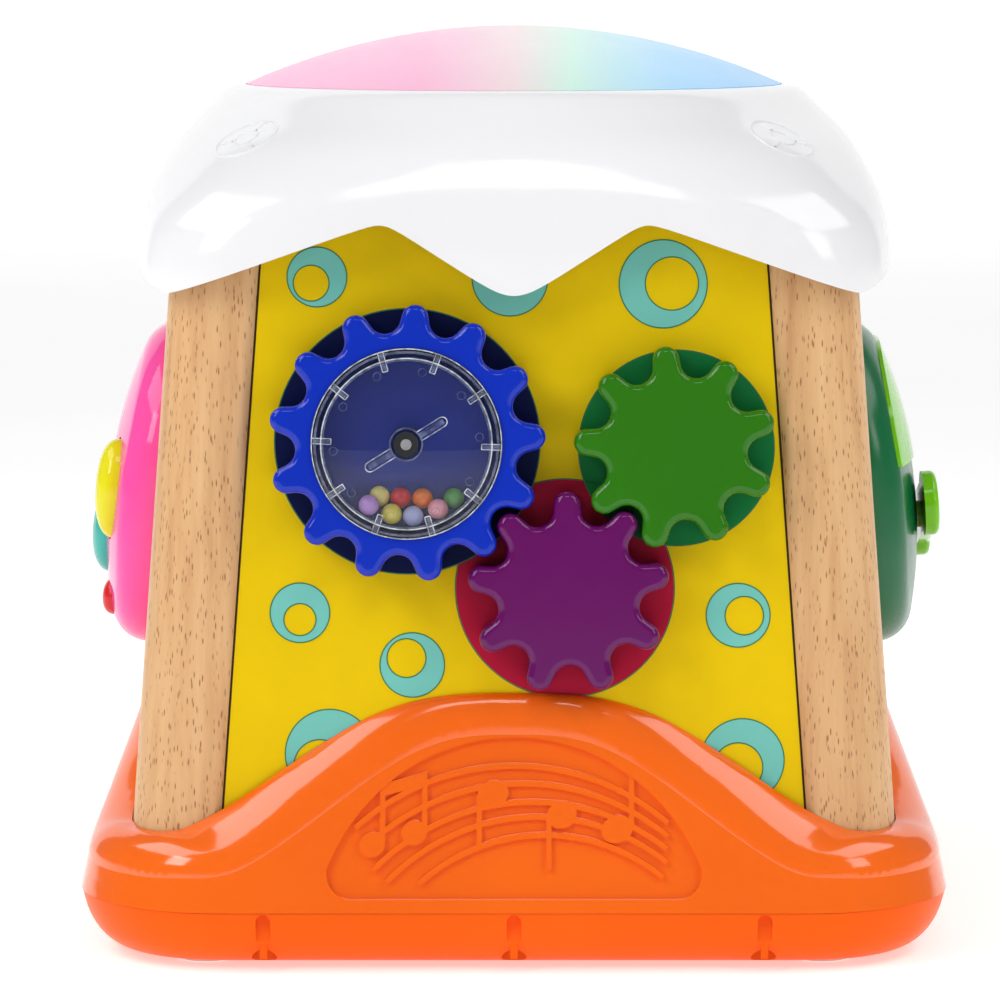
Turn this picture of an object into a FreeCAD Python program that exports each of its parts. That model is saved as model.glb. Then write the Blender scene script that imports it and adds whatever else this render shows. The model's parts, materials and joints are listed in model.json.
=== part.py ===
"""A baby activity cube: wooden corner posts, four printed play walls, a drum cap and a moulded base.

Millimetres, +Z up, the front wall with the three gears faces -Y. The origin is on the table,
under the middle of the base. Each wall has its own frame: x across, y up its slope, z outwards.
"""
import FreeCAD, Part

import math
import os

from FreeCAD import Matrix, Vector

os.makedirs("parts", exist_ok=True)

# ---------------------------------------------------------------- driving dimensions
LEAN = math.radians(4.07)           # every wall and post leans inwards by this
POST_FACE = 109.6                   # half width over the posts, carried down to the table
POST_SIZE = 26.0                    # posts are square, with one big round outside
POST_ROUND = 17.0
POST_EDGE = 4.0                     # round where a post drops to the panel beside it
POST_FOOT = 13.0                    # height of the posts' feet
POST_SCREW_IN = 4.0                 # the posts' screws lie this far inwards of their middle
POST_TOP = 207.0
PANEL_SET_BACK = 2.0                # panels lie this far behind the posts' faces
PANEL_THICK = 5.0
PANEL_TONGUE = 4.0                  # panel edge held in the post's groove
PANEL_FOOT = 8.0
GAP = 0.15                          # general assembly clearance

BASE_HALF = 122.5
BASE_CORNER = 42.0
SPLIT_Z = 17.4                      # parting line of the two base mouldings
TRAY_BOTTOM = 1.5
TRAY_WALL = 2.6
RIM_VALLEY = 37.0                   # height of the rim round the posts
RIM_CREST = 75.5                    # height of the rim in the middle of each wall
RIM_REACH = 100.0                   # from the crest to where the valley starts
LIP_DROP = 11.0                     # height of the rounded lip
LIP_WALL = 2.6
LIP_LEAST = 0.4                     # the lip's hollow is never narrower than this
WALL_TAPER = 0.37                   # how fast the rim's outer wall leans in
TAPER_START = 22.0

CAP_WALL = 2.6
CAP_BOTTOM = 180.0
DRUM_RADIUS = 78.6
DRUM_EDGE_TOP = 241.2
DRUM_BALL = 192.0                   # radius of the drum head's dome
DRUM_WALL = 2.2
DRUM_TRAVEL = 2.0
FLANGE_RADIUS = 82.0
FLANGE_Z = 234.4
FLANGE_THICK = 1.8
DECK_THICK = 3.0
DECK_HALF = 90.0
BOARD_THICK = 1.6

GEAR_MODULE = 5.5
BLUE_TEETH = 13
SMALL_TEETH = 9
PURPLE_AT = (15.0, 104.1)           # on the front wall: across, up the slope
GREEN_BEARING = math.radians(53.7)  # direction from the purple gear to the green one
BLUE_BEARING = math.radians(137.2)  # direction from the purple gear to the blue one
PURPLE_TOOTH = math.radians(91.0)
TOOTH_TIP = 3.65                     # round at a tooth's tip
GAP_ROUND = 4.4                     # round between two teeth
BLUE_TIP, BLUE_ROOT = 38.1, 30.6
SMALL_TIP, SMALL_ROOT = 27.9, 19.8
GEAR_BACK = 1.0                     # the gears run this far off the panel
GEAR_FRONT = 14.5
GEAR_ROUND = 2.0
GEAR_SKIN = 2.6
AXLE = 3.0
AXLE_RUN = 0.06                     # radial running clearance
BUSH = 5.2

RATTLE_RADIUS = 26.2
RATTLE_FLOOR = 3.8
RATTLE_TRACK = 23.2                 # inner face of the clear ring that the beads roll on
WINDOW_WALL = 1.3
WINDOW_RISE = 3.7
WINDOW_EDGE = 15.3
BEAD = 2.85
BEADS = [                           # across, up and out from the blue gear's axis
    (-10.4, -16.8, 11.5), (-7.6, -14.6, 7.0), (-4.2, -19.3, 10.2), (-1.8, -15.0, 7.0),
    (1.7, -19.9, 10.0), (4.2, -15.2, 7.0), (8.5, -18.0, 9.8), (12.8, -15.1, 7.2),
]

PAD_CENTRE = 115.3                  # up the slope, middle of the two side housings
PAD_HALF = 48.0
PAD_UP, PAD_DOWN = 56.0, 38.6
PAD_SKIN = 2.4
PAD_UPPER_ROUND, PAD_LOWER_ROUND = 40.0, 34.0
PAD_BALL = 140.0                    # the housings' tops are part of a ball, then rounded off
PAD_TOP, GREEN_TOP = 21.6, 20.3     # greatest heights off the wall
PAD_EDGE = 11.0
PAD_BOSSES = [(-28, 92), (28, 92), (-28, 150), (28, 150)]
BUTTONS = {                         # middle, half widths and top of each left button
    "yellow": (28.0, 122.9, 9.0, 14.6, 23.4),
    "teal": (2.0, 107.5, 12.8, 12.8, 25.6),
    "red": (16.0, 89.5, 5.5, 5.5, 20.4),
    "purple": (-28.0, 122.9, 9.0, 14.6, 23.4),
}
FLANGE_LOW, FLANGE_HIGH = 9.5, 11.3
CROWN_DROP = 6.5                    # height of a button's rounded crown
CROWN_SHARES = (1.0, 0.985, 0.94, 0.85, 0.7, 0.5, 0.3)
CROWN_POWER = 2.4
HANDLE_AT = (0.0, 111.7)
HANDLE_TILT = math.radians(-16.0)
HANDLE_REACH, HANDLE_LOBE = 20.0, 9.5
HANDLE_LOW, HANDLE_HIGH = 21.0, 25.2
COVER_EDGE = 131.0                  # lower edge of the lime cover, up the slope
BUTTON_GAP = 0.5

SIDES = ("front", "right", "back", "left")
CORNERS = (("front", "left"), ("front", "right"), ("back", "right"), ("back", "left"))
SLOPE = math.tan(LEAN)


# ---------------------------------------------------------------- frames and helpers
def post_half(z):
    """Half width over the posts' faces at a height."""
    return POST_FACE - SLOPE * z


def turn(shape, quarter_turns):
    placed = shape.copy()
    placed.rotate(Vector(0, 0, 0), Vector(0, 0, 1), 90 * quarter_turns)
    return placed


def on_wall(shape, side):
    """Carry a shape from a wall's own frame to its place on the cube."""
    c, s = math.cos(LEAN), math.sin(LEAN)
    frame = Matrix(1, 0, 0, 0, 0, s, -c, -(POST_FACE - PANEL_SET_BACK), 0, c, s, 0, 0, 0, 0, 1)
    placed = shape.copy()
    placed.Placement = FreeCAD.Placement(frame).multiply(placed.Placement)
    return turn(placed, SIDES.index(side))


def rod(radius, z0, z1, at=(0, 0)):
    return Part.makeCylinder(radius, z1 - z0, Vector(at[0], at[1], z0))


def tube(outer, inner, z0, z1, at=(0, 0)):
    return rod(outer, z0, z1, at).cut(rod(inner, z0 - 1, z1 + 1, at))


def block(x0, x1, y0, y1, z0, z1):
    return Part.makeBox(x1 - x0, y1 - y0, z1 - z0, Vector(x0, y0, z0))


def fuse(shapes):
    shapes = list(shapes)
    return shapes[0].multiFuse(shapes[1:]).removeSplitter() if len(shapes) > 1 else shapes[0]


def polar(radius, angle, centre=(0, 0)):
    return (centre[0] + radius * math.cos(angle), centre[1] + radius * math.sin(angle))


def prism(points, z0, z1):
    """A straight-sided prism over a polygon."""
    corners = [Vector(x, y, z0) for x, y in points]
    face = Part.Face(Part.makePolygon(corners + corners[:1]))
    return face.extrude(Vector(0, 0, z1 - z0))


def save(name, *shapes):
    """Write one node's STEP: one solid, or a group of equal ones."""
    solids = [solid for shape in shapes for solid in shape.Solids]
    bad = [s for s in solids if not s.isValid() or s.Volume <= 0]
    if bad:
        print("PROBLEM in", name, [round(s.Volume, 2) for s in bad])
    out = solids[0] if len(solids) == 1 else Part.makeCompound(solids)
    out.exportStep("parts/%s.step" % name)
    print("%-22s %2d solid(s) %10.1f mm3" % (name, len(solids), out.Volume))
    return out


# ---------------------------------------------------------------- rings of a rounded square
STRAIGHT_STEPS = 8
CORNER_STEPS = 6


def stations():
    """Places round a rounded square, as (quarter, leg, share): leg 0 runs to the corner, leg 1 is
    the corner's arc and leg 2 runs from it to the middle of the next side. They start at the
    middle of a corner."""
    found = []
    for quarter in range(4):
        found += [(quarter, 0, i / STRAIGHT_STEPS) for i in range(STRAIGHT_STEPS)]
        found += [(quarter, 1, i / CORNER_STEPS) for i in range(CORNER_STEPS + 1)]
        found += [(quarter, 2, 1 - i / STRAIGHT_STEPS) for i in range(1, STRAIGHT_STEPS)]
    start = STRAIGHT_STEPS + CORNER_STEPS // 2
    return found[start:] + found[:start]


def smooth_ring(points):
    """A smooth closed wire through points, in four edges with a shared spacing."""
    count = len(points)
    curve = Part.BSplineCurve()
    curve.interpolate(Points=points, PeriodicFlag=True,
                      Parameters=[i / count for i in range(count + 1)])
    return Part.Wire([curve.toShape(i / 4, (i + 1) / 4) for i in range(4)])


def square_point(station, half, radius, z):
    quarter, leg, share = station
    flat = half - radius
    if leg == 0:
        x, y = share * flat, -half
    elif leg == 1:
        angle = share * math.pi / 2
        x, y = flat + radius * math.sin(angle), -flat - radius * math.cos(angle)
    else:
        x, y = half, -share * flat
    c, s = ((1, 0), (0, 1), (-1, 0), (0, -1))[quarter]
    return Vector(c * x - s * y, s * x + c * y, z)


def ring(form):
    """A closed smooth wire: form gives (half width, corner radius, height) at a station."""
    return smooth_ring([square_point(station, *form(station)) for station in stations()])


def level_ring(half, radius, z):
    """A level rounded square of straight lines and round corners."""
    flat = half - radius
    diagonal = flat + radius * math.sqrt(0.5)
    side = [Part.makeLine(Vector(-flat, -half, z), Vector(flat, -half, z)),
            Part.Arc(Vector(flat, -half, z), Vector(diagonal, -diagonal, z),
                     Vector(half, -flat, z)).toShape()]
    return Part.Wire([turn(edge, quarter) for quarter in range(4) for edge in side])


def lofted(levels):
    """A smooth solid through level rings, each (half width, corner radius, height)."""
    return Part.makeLoft([level_ring(*level) for level in levels], True, False)


# ---------------------------------------------------------------- frame: posts and panels
def post_section(half):
    """A post's level section, for the corner at +x -y, with its outside round."""
    inner = half - POST_SIZE
    x0, x1, y0, y1 = inner, half, -half, -inner
    corners = [(x0, y0, POST_EDGE), (x1, y0, POST_ROUND), (x1, y1, POST_EDGE), (x0, y1, 1.0)]
    edges = []
    ends = []
    for i, (x, y, r) in enumerate(corners):
        px, py, _ = corners[i - 1]
        nx, ny, _ = corners[(i + 1) % 4]
        back = Vector(px - x, py - y, 0).normalize()
        ahead = Vector(nx - x, ny - y, 0).normalize()
        at = Vector(x, y, 0)
        start, end = at + back * r, at + ahead * r
        middle = at + (back + ahead) * (r * (1 - math.sqrt(0.5)))
        ends.append((start, middle, end))
    for i, (start, middle, end) in enumerate(ends):
        edges.append(Part.makeLine(ends[i - 1][2], start))
        edges.append(Part.Arc(start, middle, end).toShape())
    return Part.Face(Part.Wire(edges))


def panel_half(z, extra=0.0):
    return post_half(z) - POST_SIZE + PANEL_TONGUE + extra


def panel_blank(extra=0.0):
    """The panel's trapezium in its wall frame. extra grows it to cut the posts' grooves."""
    y0, y1 = PANEL_FOOT / math.cos(LEAN), POST_TOP / math.cos(LEAN)
    low, high = panel_half(PANEL_FOOT, extra), panel_half(POST_TOP, extra)
    outline = [(-low, y0 - extra), (low, y0 - extra), (high, y1 + extra), (-high, y1 + extra)]
    return prism(outline, -PANEL_THICK - extra, extra)


def post(corner):
    """One leaning post, grooved for the two panels beside it."""
    height = POST_TOP - POST_FOOT
    inward = SLOPE * height
    bar = post_section(post_half(POST_FOOT)).extrude(Vector(-inward, inward, height))
    bar.translate(Vector(0, 0, POST_FOOT))
    bar = turn(bar, CORNERS.index(corner) - 1)
    for side in corner:
        bar = bar.cut(on_wall(panel_blank(GAP), side))
    for z, way in ((POST_FOOT, 1), (POST_TOP, -1)):
        pilot = rod(SHANK, min(z, z + 20 * way) - 1, max(z, z + 20 * way) + 1)
        bar = bar.cut(screw_place(pilot, corner, z))
    return bar


def post_axis(z):
    """Distance of a post's screws from the cube's axis, along x and along y, at a height."""
    return post_half(z) - POST_SIZE / 2 - POST_SCREW_IN


def screw_place(shape, corner, z):
    """Move an upright shape at the origin to a post's middle at a height."""
    x = post_axis(z) * (1 if "right" in corner else -1)
    y = post_axis(z) * (1 if "back" in corner else -1)
    placed = shape.copy()
    placed.translate(Vector(x, y, 0))
    return placed


def frame_parts():
    for corner in CORNERS:
        save("post_%s_%s" % corner, post(corner))
    holes = {
        "front": [rod(BUSH + 0.05, -9, 9, at) for at in gear_places().values()],
        "left": [rod(7, -9, 9, (0, PAD_CENTRE))] + pad_screws(1.7, -9),
        "right": pad_screws(1.7, -9),
        "back": [],
    }
    for side in SIDES:
        panel = panel_blank()
        for hole in holes[side]:
            panel = panel.cut(hole)
        save("%s_panel" % side, on_wall(panel, side))


# ---------------------------------------------------------------- base
SCREW_ACROSS = (-69.0, 0.0, 69.0)   # base screws along each side
SCREW_OUT = 114.0
SHANK = 1.25                        # all the self-tapping screws
HEAD_RADIUS, HEAD_HIGH = 2.8, 1.8
BOSS = 3.6
TRAY_PROFILE = [                    # half width, corner radius and height of the lower moulding
    (109.2, 28.0, 1.5), (114.8, 33.0, 3.8), (118.5, 37.5, 7.6), (120.8, 40.5, 12.0),
    (122.1, 42.0, 17.2),
]
TRAY_INSIDE = [
    (112.3, 30.5, 4.1), (115.9, 35.0, 7.8), (118.2, 38.0, 12.0), (119.5, 39.4, 18.0),
]
TRAY_FLOOR = 4.1
COUNTERBORE = 3.5
BASE_SCREW_SEAT = 10.0
RIM_BOSS_TOP = 24.6
SLOT_WIDE, SLOT_LOW, SLOT_HIGH, SLOT_FACE = 4.0, 8.5, 16.8, 119.3
BAY = (-29.5, 29.5, 8.0, 56.0)      # battery bay, inside the tray
BAY_TOP = 20.5
DOOR_THICK = 2.0
CELL_RADIUS, CELL_HALF, CELL_PITCH, CELL_Z = 7.1, 24.9, 15.2, 11.6
BAY_MIDDLE = 32.0
SPEAKER_AT = (0.0, -52.0)
SPEAKER_RADIUS = 25.0
FOOT_X, FOOT_Y, FOOT_RADIUS, FOOT_TOP = 86.0, 96.0, 9.0, 2.5
POST_SCREW_SEAT = 4.6               # the feet hide the heads of the posts' screws
SWITCH_AT = (54.0, -36.0)
SWITCH_TRAVEL = 4.0
BOARD = (-44.0, 44.0, -32.0, 32.0)
BOARD_Z = 27.0
BOARD_POSTS = [(-40, -28), (40, -28), (-40, 28), (40, 28)]
LIP_TURNS = (90, 68, 45, 22, 0)     # degrees round the rim's lip, from its wall to its inner edge


def rim_reach(station):
    """How far a station lies from the middle of its side, measured on the posts' faces."""
    _, leg, share = station
    post_line = post_half(RIM_VALLEY)
    if leg == 1:
        angle = share * math.pi / 2
        return post_line - POST_ROUND + POST_ROUND * math.sin(min(angle, math.pi / 2 - angle))
    return share * (post_line - POST_ROUND)


def rim_height(station):
    """The wave of the rim: high in the middle of a side, low round each post."""
    wave = math.cos(math.pi * min(1.0, rim_reach(station) / RIM_REACH) ** 1.5)
    return RIM_VALLEY + (RIM_CREST - RIM_VALLEY) * 0.5 * (1 + wave)


def rim_inner_half(station):
    """Half width of the rim's inner edge: close to the panel, then stepping out round a post."""
    share = min(1.0, max(0.0, (rim_reach(station) - 52.0) / 22.0))
    step = share * share * (3 - 2 * share)
    return post_half(rim_height(station)) + 0.3 - PANEL_SET_BACK * (1 - step)


def rim_wall_half(z):
    return BASE_HALF - max(0.0, z - TAPER_START) * WALL_TAPER


def rim_form(turned, skin):
    """Ring form on the rim's lip: turned runs from 0 at its inner edge to 90 degrees at the wall.
    skin is the depth below the outside."""
    def form(station):
        top = rim_height(station)
        start = top - LIP_DROP
        inner = rim_inner_half(station)
        outer = max(rim_wall_half(start) - skin, inner + LIP_LEAST)
        reach = math.sin(math.radians(turned))
        z = start + (LIP_DROP - skin) * math.cos(math.radians(turned))
        radius = POST_ROUND + 0.3 + (BASE_CORNER - skin - POST_ROUND - 0.3) * reach
        return inner + (outer - inner) * reach, radius, z
    return form


def wall_form(skin):
    """Ring form at the foot of the rim's wall, on the parting line."""
    return lambda station: (BASE_HALF - skin, BASE_CORNER - skin, SPLIT_Z)


def rim_layer(skin_out, skin_in):
    """A thin solid that follows the rim, between two depths below its outside."""
    foot_out, foot_in = (ring(wall_form(skin)) for skin in (skin_out, skin_in))
    lip_out, lip_in = ([ring(rim_form(turned, skin)) for turned in LIP_TURNS]
                       for skin in (skin_out, skin_in))
    faces = []
    for wires, ruled in (([foot_out, lip_out[0]], True), (lip_out, False),
                         ([lip_out[-1], lip_in[-1]], True), (lip_in, False),
                         ([lip_in[0], foot_in], True)):
        faces += Part.makeLoft(wires, False, ruled).Faces
    faces.append(Part.Face([foot_out, foot_in]))
    shell = Part.makeShell(faces)
    shell.sewShape()
    solid = Part.makeSolid(shell)
    solid.fix(1e-4, 1e-4, 1e-3)
    if solid.Volume < 0:
        solid.reverse()
    return solid


def upright(face):
    """Push a face drawn in the x-z plane through the front of the base."""
    placed = face.copy()
    placed.translate(Vector(0, -130, 0))
    return placed.extrude(Vector(0, 40, 0))


def flat_point(x, z):
    return Vector(x, 0, z)


RECESS_DEPTH = 1.6
RELIEF = 1.3
STAVE_HALF = 0.75
STAVES = [                          # left end, top and right end of each arched line: x, z
    ((-43.7, 39.9), (0.0, 56.2), (42.5, 41.2)),
    ((-41.8, 34.0), (1.0, 51.5), (42.5, 37.6)),
    ((-38.9, 28.6), (2.8, 46.6), (42.2, 34.3)),
    ((-35.1, 25.6), (4.2, 42.7), (42.2, 30.7)),
    ((-26.1, 25.2), (6.3, 37.9), (41.1, 26.8)),
]
HEADS = [                           # note heads: x, z, half width, half height
    (-39.1, 35.4, 3.6, 3.3), (-27.5, 38.5, 3.6, 3.3), (-5.8, 48.7, 4.4, 3.6),
    (13.2, 43.3, 4.2, 3.6), (28.4, 39.5, 4.5, 3.6),
]
STEMS = [                           # x, lower z and upper z
    (-36.2, 35.4, 51.0), (-24.6, 38.5, 53.8), (-9.6, 34.6, 48.7), (9.6, 28.8, 43.3),
    (32.4, 39.5, 54.1),
]
STEM_HALF = 0.75
BEAM = [(-37.0, 48.0), (-23.9, 51.2), (-23.9, 54.6), (-37.0, 51.4)]
NOTE_TILT = 20.0


def recess_face():
    """The half-moon on the front of the base, in the x-z plane."""
    low, side, top = 21.0, 29.0, 63.8
    left, right = flat_point(-51.5, side), flat_point(51.5, side)
    floor_left, floor_right = flat_point(-44, low), flat_point(44, low)
    edges = [
        Part.Arc(left, flat_point(0, top), right).toShape(),
        Part.Arc(right, flat_point(49.7, 23.2), floor_right).toShape(),
        Part.makeLine(floor_right, floor_left),
        Part.Arc(floor_left, flat_point(-49.7, 23.2), left).toShape(),
    ]
    return Part.Face(Part.Wire(edges))


def stave_face(left, top, right):
    arc = Part.Arc(flat_point(*left), flat_point(*top), flat_point(*right)).toShape()
    centre = arc.Curve.Center
    band = []
    for point in (left, top, right):
        at = flat_point(*point)
        away = (at - centre).normalize() * STAVE_HALF
        band.append((at + away, at - away))
    (l1, l2), (t1, t2), (r1, r2) = band
    edges = [Part.Arc(l1, t1, r1).toShape(), Part.makeLine(r1, r2),
             Part.Arc(r2, t2, l2).toShape(), Part.makeLine(l2, l1)]
    return Part.Face(Part.Wire(edges))


def head_face(x, z, half_wide, half_high):
    oval = Part.Ellipse(Vector(0, 0, 0), half_wide, half_high)
    face = Part.Face(Part.Wire(oval.toShape()))
    face.rotate(Vector(0, 0, 0), Vector(0, 0, 1), NOTE_TILT)
    face.rotate(Vector(0, 0, 0), Vector(1, 0, 0), 90)
    face.translate(flat_point(x, z))
    return face


def polygon_face(points):
    corners = [flat_point(*p) for p in points]
    return Part.Face(Part.makePolygon(corners + corners[:1]))


def relief():
    """The raised lines and notes, as one block to be trimmed to the recess floor."""
    faces = [stave_face(*stave) for stave in STAVES]
    faces += [head_face(*head) for head in HEADS]
    for x, low, high in STEMS:
        faces.append(polygon_face([(x - STEM_HALF, low), (x + STEM_HALF, low),
                                   (x + STEM_HALF, high), (x - STEM_HALF, high)]))
    faces.append(polygon_face(BEAM))
    return fuse([upright(face) for face in faces])


def base_rim():
    shell = rim_layer(0, LIP_WALL)
    recess = upright(recess_face())
    shell = shell.cut(rim_layer(-1.5, RECESS_DEPTH).common(recess))
    raised = rim_layer(RECESS_DEPTH - RELIEF, RECESS_DEPTH + 0.1).common(relief())
    bosses = []
    for quarter in range(4):
        for x in SCREW_ACROSS:
            boss = rod(BOSS, SPLIT_Z + 0.1, RIM_BOSS_TOP, (x, -SCREW_OUT))
            rib = block(x - 1, x + 1, -118.0, -SCREW_OUT, SPLIT_Z + 0.1, RIM_BOSS_TOP)
            hole = rod(SHANK, SPLIT_Z - 1, RIM_BOSS_TOP - 1, (x, -SCREW_OUT))
            bosses.append(turn(boss.fuse(rib).cut(hole), quarter))
    return shell.multiFuse(raised.Solids + bosses)


def screw(length, at, z):
    """A screw that is driven upwards: its head's underside rests at height z."""
    head = rod(HEAD_RADIUS, z - HEAD_HIGH, z, at)
    slot = block(at[0] - 1.7, at[0] + 1.7, at[1] - 0.35, at[1] + 0.35, z - HEAD_HIGH, z - 0.9)
    return head.cut(slot).fuse(rod(SHANK, z, z + length, at))


def around(shape):
    return [turn(shape, quarter) for quarter in range(4)]


def base_screw_holes():
    """Counterbores at the tray's edge, and the slots above them."""
    cuts = []
    for x in SCREW_ACROSS:
        at = (x, -SCREW_OUT)
        cuts += around(rod(COUNTERBORE, -1, BASE_SCREW_SEAT, at))
        cuts += around(rod(SHANK + 0.25, 3, 19, at))
        slot = block(x - SLOT_WIDE / 2, x + SLOT_WIDE / 2, -125, -SLOT_FACE, SLOT_LOW,
                     SLOT_HIGH - SLOT_WIDE / 2)
        arch = Part.makeCylinder(SLOT_WIDE / 2, 125 - SLOT_FACE,
                                 Vector(x, -125, SLOT_HIGH - SLOT_WIDE / 2), Vector(0, 1, 0))
        cuts += around(slot.fuse(arch))
    return cuts


def foot_places():
    return [(way_x * FOOT_X, way_y * FOOT_Y) for way_x in (-1, 1) for way_y in (-1, 1)]


def speaker_holes():
    holes = [rod(1.6, 0, 6, SPEAKER_AT)]
    for radius, count in ((6, 6), (12, 12), (18, 18)):
        holes += [rod(1.6, 0, 6, polar(radius, 2 * math.pi * i / count, SPEAKER_AT))
                  for i in range(count)]
    return holes


def base_tray():
    outer, inner = lofted(TRAY_PROFILE), lofted(TRAY_INSIDE)
    body = [outer.cut(inner)]
    for x in SCREW_ACROSS:
        at = (x, -SCREW_OUT)
        seat = rod(5.0, 2.0, BASE_SCREW_SEAT + 2.4, at).common(outer)
        body += around(seat.fuse(rod(BOSS, 7, 17.2, at)).fuse(
            block(x - 1, x + 1, -118.9, -SCREW_OUT, 4, 17.0)))
    for corner in CORNERS:
        body.append(screw_place(rod(8.0, 3, POST_FOOT), corner, POST_FOOT).common(outer))
    x0, x1, y0, y1 = BAY
    body.append(block(x0 - 1.6, x1 + 1.6, y0 - 1.6, y1 + 1.6, 3, BAY_TOP + 1.6))
    body.append(rod(5.0, 3, 14, (0, y0 - 4)))
    body.append(tube(SPEAKER_RADIUS + 2.4, SPEAKER_RADIUS + 0.6, 3, 7.5, SPEAKER_AT))
    body += [rod(3.0, 3, BOARD_Z, at) for at in BOARD_POSTS]
    for way in (-1, 1):
        sx, sy = SWITCH_AT
        body.append(block(sx + way * 9 - 1.5, sx + way * 9 + 1.5, sy - 4, sy + 4, 3, 6.4))
    shape = fuse(body)
    cuts = base_screw_holes() + speaker_holes()
    cuts.append(block(x0, x1, y0, y1, TRAY_FLOOR - 0.4, BAY_TOP))
    cuts.append(block(x0 + 1.2, x1 - 1.2, y0 + 1.2, y1 - 1.2, 0, TRAY_FLOOR))
    cuts += door_blanks(GAP)
    cuts.append(rod(SHANK, 0, 12, (0, y0 - 4)))
    for corner in CORNERS:
        cuts.append(screw_place(rod(3.2, -1, POST_SCREW_SEAT), corner, POST_FOOT))
        cuts.append(screw_place(rod(SHANK + 0.25, -1, POST_FOOT + 1), corner, POST_FOOT))
    cuts += [rod(FOOT_RADIUS, -1, FOOT_TOP, at) for at in foot_places()]
    cuts += [rod(SHANK, 16, BOARD_Z + 1, at) for at in BOARD_POSTS]
    sx, sy = SWITCH_AT
    cuts.append(block(sx - 5, sx + 5, sy - 2.8, sy + 2.8, 0, 5))
    for cut in cuts:
        shape = shape.cut(cut)
    return shape


def door_blanks(extra):
    """The battery door's plate and its screw tab, grown by extra."""
    x0, x1, y0, y1 = BAY
    plate = block(x0 - extra, x1 + extra, y0 - extra, y1 + extra, 1.5 - extra * 9, 1.5 + DOOR_THICK)
    tab = block(-6 - extra, 6 + extra, y0 - 9 - extra, y0 + 1, 1.5 - extra * 9, 1.5 + DOOR_THICK)
    return [plate, tab]


def battery_parts():
    x0, _, y0, _ = BAY
    door = fuse(door_blanks(0))
    door = door.cut(rod(SHANK + 0.25, 0, 5, (0, y0 - 4))).cut(rod(3.0, 0, 2.4, (0, y0 - 4)))
    for i in range(5):
        door = door.cut(block(-12, 12, 46 + i * 1.8, 46.9 + i * 1.8, 1, 2.1))
    save("battery_door", door)
    save("battery_door_screw", screw(9.0, (0, y0 - 4), 2.4).common(rod(4, 1.5, 20, (0, y0 - 4))))
    cells, contacts = [], []
    for i in (-1, 0, 1):
        y = BAY_MIDDLE + i * CELL_PITCH
        flip = 1 if i else -1
        start = Vector(-CELL_HALF * flip, y, CELL_Z)
        way = Vector(flip, 0, 0)
        can = Part.makeCylinder(CELL_RADIUS, 2 * CELL_HALF - 1.2, start, way)
        nub = Part.makeCylinder(2.7, 1.2, start + way * (2 * CELL_HALF - 1.2), way)
        cells.append(can.fuse(nub))
        for end in (-1, 1):
            face = 29.4
            plate = Part.makeBox(0.5, 10, 11, Vector(0, y - 5, CELL_Z - 5.5))
            plate.translate(Vector(end * face - (0.5 if end > 0 else 0), 0, 0))
            reach = face - 0.5 - CELL_HALF
            cone = Part.makeCone(4.0, 2.0, reach, Vector(end * (face - 0.5), y, CELL_Z),
                                 Vector(-end, 0, 0))
            contacts.append(plate.fuse(cone))
    save("battery_cells", *cells)
    save("battery_contacts", *contacts)


def speaker():
    at = SPEAKER_AT
    rim = tube(SPEAKER_RADIUS, 21, TRAY_FLOOR, TRAY_FLOOR + 2.2, at)
    cone = Part.makeCone(23.5, 13, 7, Vector(*at, TRAY_FLOOR + 2.2))
    hollow = Part.makeCone(21.5, 11, 6, Vector(*at, TRAY_FLOOR + 2.1))
    magnet = rod(12, TRAY_FLOOR + 9.2, TRAY_FLOOR + 15, at)
    return fuse([rim, cone.cut(hollow), magnet])


def main_board():
    x0, x1, y0, y1 = BOARD
    board = block(x0, x1, y0, y1, BOARD_Z, BOARD_Z + BOARD_THICK)
    top = BOARD_Z + BOARD_THICK
    chips = [block(-8, 8, -8, 8, top, top + 1.5), block(16, 26, -4, 2, top, top + 1.2),
             rod(3.2, top, top + 7, (-24, 10)), rod(3.2, top, top + 7, (-24, -2)),
             block(-14, 14, 22, 28, top, top + 4)]
    board = fuse([board] + chips)
    for at in BOARD_POSTS:
        board = board.cut(rod(SHANK + 0.25, BOARD_Z - 1, top + 1, at))
    return board


def down_screw(length, at, z):
    """A screw that is driven downwards: its head's underside rests at height z."""
    head = rod(HEAD_RADIUS, z, z + HEAD_HIGH, at)
    slot = block(at[0] - 1.7, at[0] + 1.7, at[1] - 0.35, at[1] + 0.35, z + 0.9, z + HEAD_HIGH)
    return head.cut(slot).fuse(rod(SHANK, z - length, z, at))


def base_parts():
    save("base_tray", base_tray())
    save("base_rim", base_rim())
    feet = [rod(FOOT_RADIUS, 0, FOOT_TOP, at) for at in foot_places()]
    save("rubber_feet", *[foot.makeFillet(0.6, [foot.Edges[2]]) for foot in feet])
    save("base_screws", *[s for x in SCREW_ACROSS for s in around(screw(13, (x, -SCREW_OUT), BASE_SCREW_SEAT))])
    save("post_foot_screws", *[screw_place(screw(25, (0, 0), POST_SCREW_SEAT), c, POST_FOOT) for c in CORNERS])
    battery_parts()
    save("speaker", speaker())
    save("main_board", main_board())
    save("board_screws", *[down_screw(9, at, BOARD_Z + BOARD_THICK) for at in BOARD_POSTS])
    sx, sy = SWITCH_AT
    knob = block(sx - 4.6, sx - 0.6, sy - 2.3, sy + 2.3, 1.9, 4.5)
    knob = knob.fuse(block(sx - 6.5, sx + 1.3, sy - 3.8, sy + 3.8, 4.4, 5.7))
    save("power_knob", knob)
    block_top = block(sx - 11, sx + 11, sy - 4, sy + 4, 6.4, 11)
    save("power_switch", block_top)


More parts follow.
